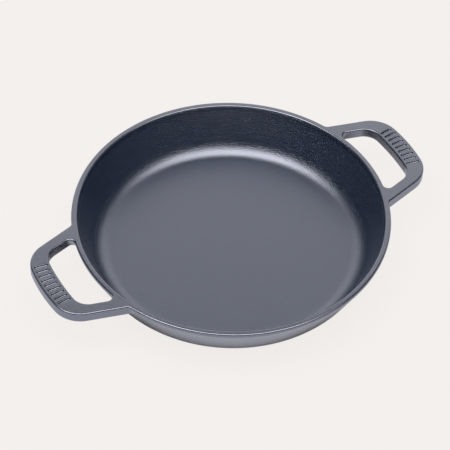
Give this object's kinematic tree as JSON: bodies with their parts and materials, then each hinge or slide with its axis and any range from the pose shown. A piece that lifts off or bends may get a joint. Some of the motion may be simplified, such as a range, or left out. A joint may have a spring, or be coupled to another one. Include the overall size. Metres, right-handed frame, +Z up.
{
  "type": "frying pan",
  "caption": "Shallow round cast iron pan with a tapered wall, two flat loop handles level with the rim and a blue-grey enamel coat.",
  "frame": {"origin": "centre of the pan, on the plane that its foot ring rests on", "axes": "+Z up, +X from the pan's centre towards the right handle, +Y away from the user"},
  "size_m": [0.3432, 0.26, 0.042],
  "materials": {
    "bare_iron": "sand-cast and ground flat on the foot ring, with a dark oiled surface",
    "enamelled_iron": "cast iron under smooth gloss enamel in a dark blue-grey",
    "matt_enamel": "matt enamel with a fine grain, dark blue-grey",
    "gloss_enamel": "smooth gloss enamel, dark blue-grey"
  },
  "bodies": {
    "root": {"iron_body": "bare_iron", "right_handle": "enamelled_iron", "left_handle": "enamelled_iron", "inner_enamel": "matt_enamel", "outer_enamel": "gloss_enamel"}
  },
  "joints": []
}
